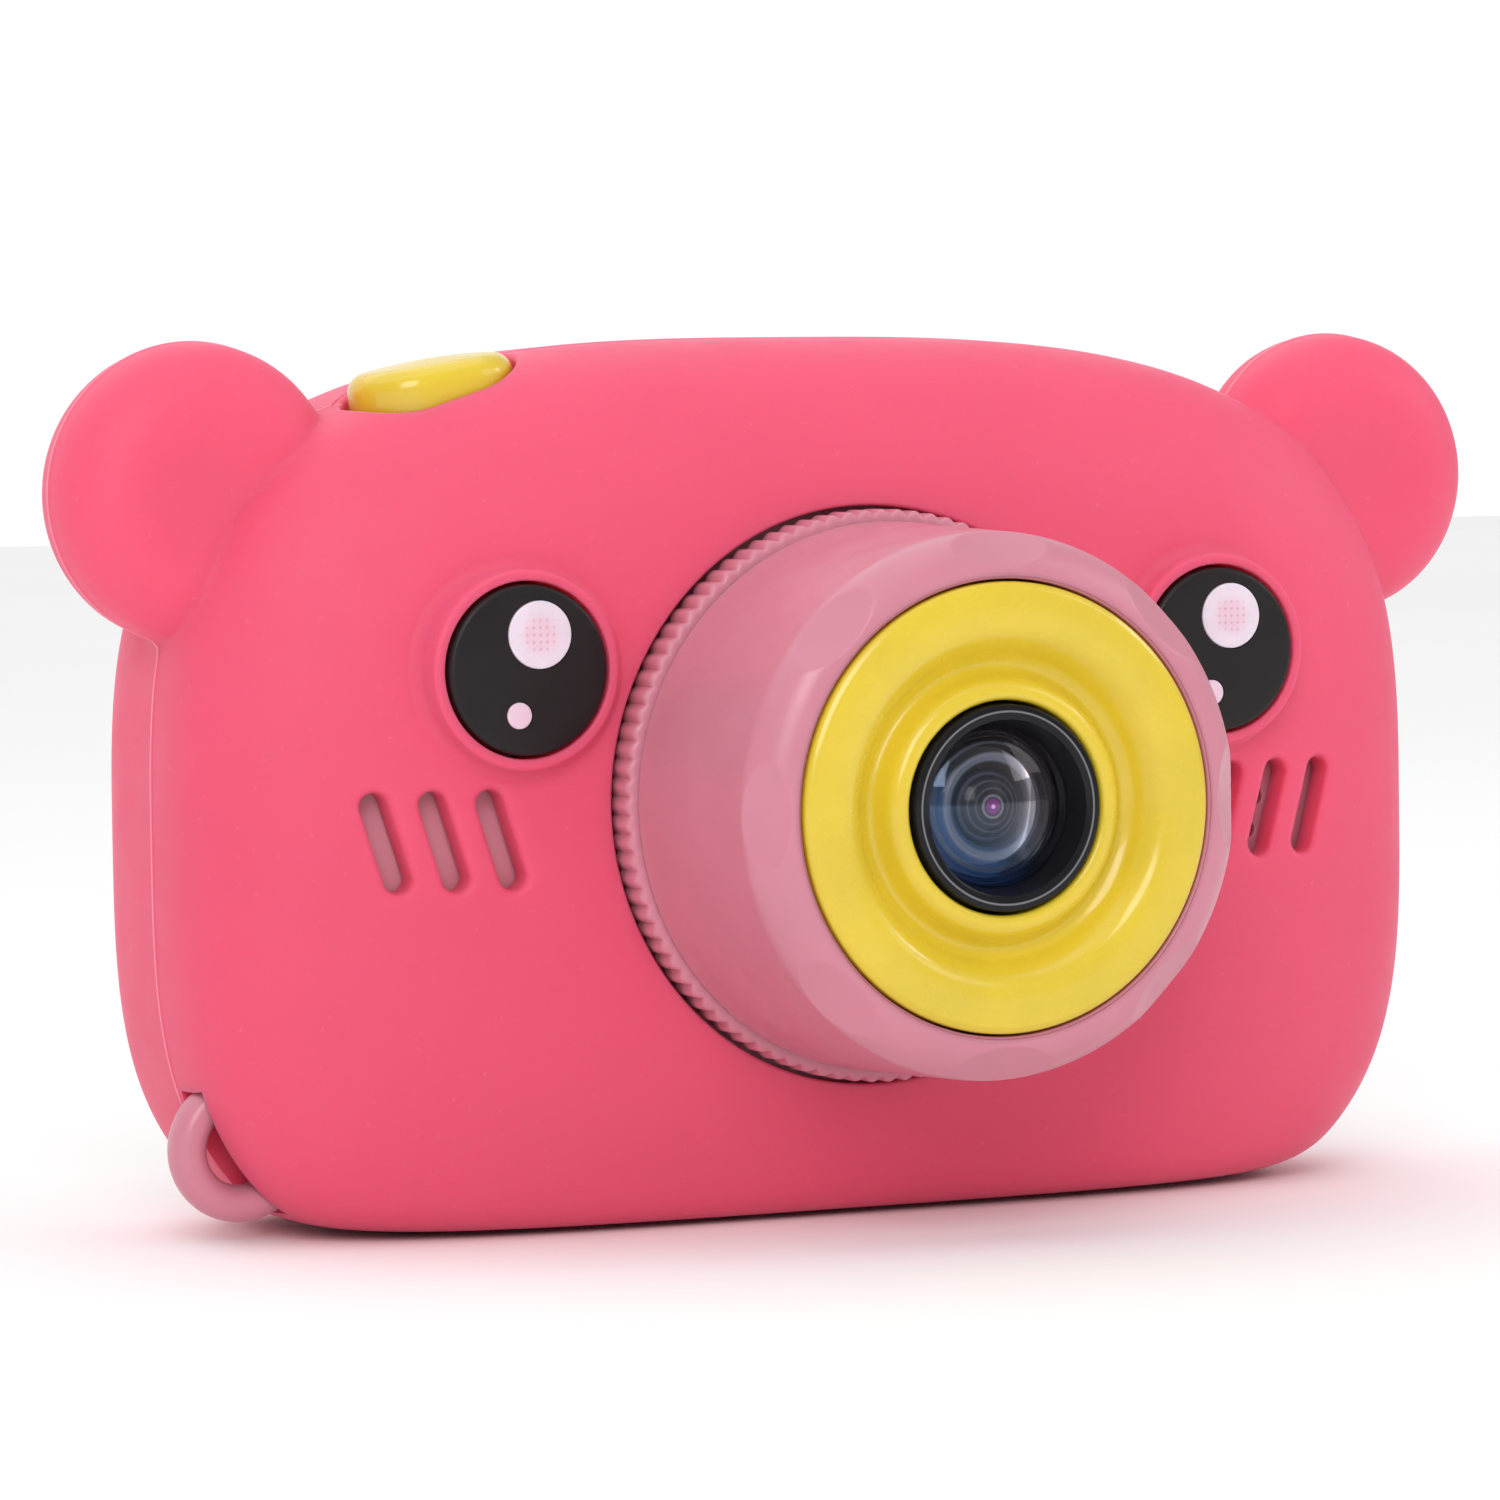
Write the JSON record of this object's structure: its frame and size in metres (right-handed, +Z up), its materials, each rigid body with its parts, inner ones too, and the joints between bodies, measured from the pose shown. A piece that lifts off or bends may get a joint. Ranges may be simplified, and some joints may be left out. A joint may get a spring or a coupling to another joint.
{
  "type": "toy digital camera",
  "caption": "Children's digital camera in a soft bear-shaped silicone cover, with a large lens barrel, a shutter button, a rear screen with keys and a lanyard loop.",
  "frame": {"origin": "centre of the bounding box at its base, on the flat underside", "axes": "+X to the right as seen from the front, +Y to the back (the lens looks along -Y), +Z up"},
  "size_m": [0.112, 0.0518, 0.0626],
  "materials": {
    "cover_silicone": "soft matte silicone",
    "shell_plastic": "satin moulded plastic",
    "yellow_plastic": "satin gloss moulded plastic",
    "black_plastic": "smooth black plastic",
    "frosted_plastic": "frosted translucent plastic",
    "lens_glass": "clear polished",
    "screen_cover": "dark polished window",
    "display": "display panel",
    "circuit_board": "solder mask",
    "switch_plastic": "moulded plastic",
    "steel": "plated steel",
    "foil": "foil pouch",
    "foam": "closed cell foam",
    "card_plastic": "moulded plastic",
    "speaker_plastic": "moulded plastic",
    "led": "phosphor and clear resin"
  },
  "bodies": {
    "camera": {"barrel_grip_ring": "shell_plastic", "barrel_screw_1": "steel", "barrel_screw_2": "steel", "barrel_screw_3": "steel", "battery": "foil", "battery_pad": "foam", "card_socket": "steel", "case_screw_left_1": "steel", "case_screw_left_2": "steel", "case_screw_right_1": "steel", "case_screw_right_2": "steel", "down_switch": "switch_plastic", "eye_disc_left": "black_plastic", "eye_disc_right": "black_plastic", "eye_glint_left": "frosted_plastic", "eye_glint_right": "frosted_plastic", "flash_diffuser_left": "frosted_plastic", "flash_diffuser_right": "frosted_plastic", "flash_led_left": "led", "flash_led_right": "led", "front_shell": "shell_plastic", "lcd_gasket": "foam", "lcd_panel": "display", "lcd_window": "screen_cover", "left_switch": "switch_plastic", "lens_barrel": "shell_plastic", "lens_bezel_ring": "yellow_plastic", "lens_element": "lens_glass", "lens_holder": "black_plastic", "lens_trim_ring": "black_plastic", "lens_window": "lens_glass", "main_board": "circuit_board", "microphone": "steel", "mode_switch": "switch_plastic", "ok_switch": "switch_plastic", "playback_switch": "switch_plastic", "power_switch": "switch_plastic", "rear_shell": "shell_plastic", "right_switch": "switch_plastic", "sensor_board": "circuit_board", "shutter_board": "circuit_board", "shutter_switch": "switch_plastic", "silicone_cover": "cover_silicone", "speaker": "speaker_plastic", "speaker_gasket": "foam", "up_switch": "switch_plastic", "usb_socket": "steel"},
    "shutter_button": {"shutter_button": "yellow_plastic"},
    "memory_card": {"memory_card": "card_plastic"},
    "power_button": {"power_button": "yellow_plastic"},
    "up_button": {"up_button": "yellow_plastic"},
    "down_button": {"down_button": "yellow_plastic"},
    "left_button": {"left_button": "yellow_plastic"},
    "right_button": {"right_button": "yellow_plastic"},
    "ok_button": {"ok_button": "yellow_plastic"},
    "mode_button": {"mode_button": "yellow_plastic"},
    "playback_button": {"playback_button": "yellow_plastic"}
  },
  "joints": [
    {"name": "shutter_press", "type": "slide", "parent": "camera", "child": "shutter_button", "axis": [0.1564, 0, -0.9877], "range_m": [0, 0.001], "stiffness_N_per_m": 900},
    {"name": "power_press", "type": "slide", "parent": "camera", "child": "power_button", "axis": [0, -1, 0], "range_m": [0, 0.0006], "stiffness_N_per_m": 1200},
    {"name": "up_press", "type": "slide", "parent": "camera", "child": "up_button", "axis": [0, -1, 0], "range_m": [0, 0.0006], "stiffness_N_per_m": 1200},
    {"name": "down_press", "type": "slide", "parent": "camera", "child": "down_button", "axis": [0, -1, 0], "range_m": [0, 0.0006], "stiffness_N_per_m": 1200},
    {"name": "left_press", "type": "slide", "parent": "camera", "child": "left_button", "axis": [0, -1, 0], "range_m": [0, 0.0006], "stiffness_N_per_m": 1200},
    {"name": "right_press", "type": "slide", "parent": "camera", "child": "right_button", "axis": [0, -1, 0], "range_m": [0, 0.0006], "stiffness_N_per_m": 1200},
    {"name": "ok_press", "type": "slide", "parent": "camera", "child": "ok_button", "axis": [0, -1, 0], "range_m": [0, 0.0006], "stiffness_N_per_m": 1200},
    {"name": "mode_press", "type": "slide", "parent": "camera", "child": "mode_button", "axis": [0, -1, 0], "range_m": [0, 0.0006], "stiffness_N_per_m": 1200},
    {"name": "playback_press", "type": "slide", "parent": "camera", "child": "playback_button", "axis": [0, -1, 0], "range_m": [0, 0.0006], "stiffness_N_per_m": 1200},
    {"name": "card_pull", "type": "slide", "parent": "camera", "child": "memory_card", "axis": [1, 0, 0], "range_m": [0, 0.012]}
  ]
}
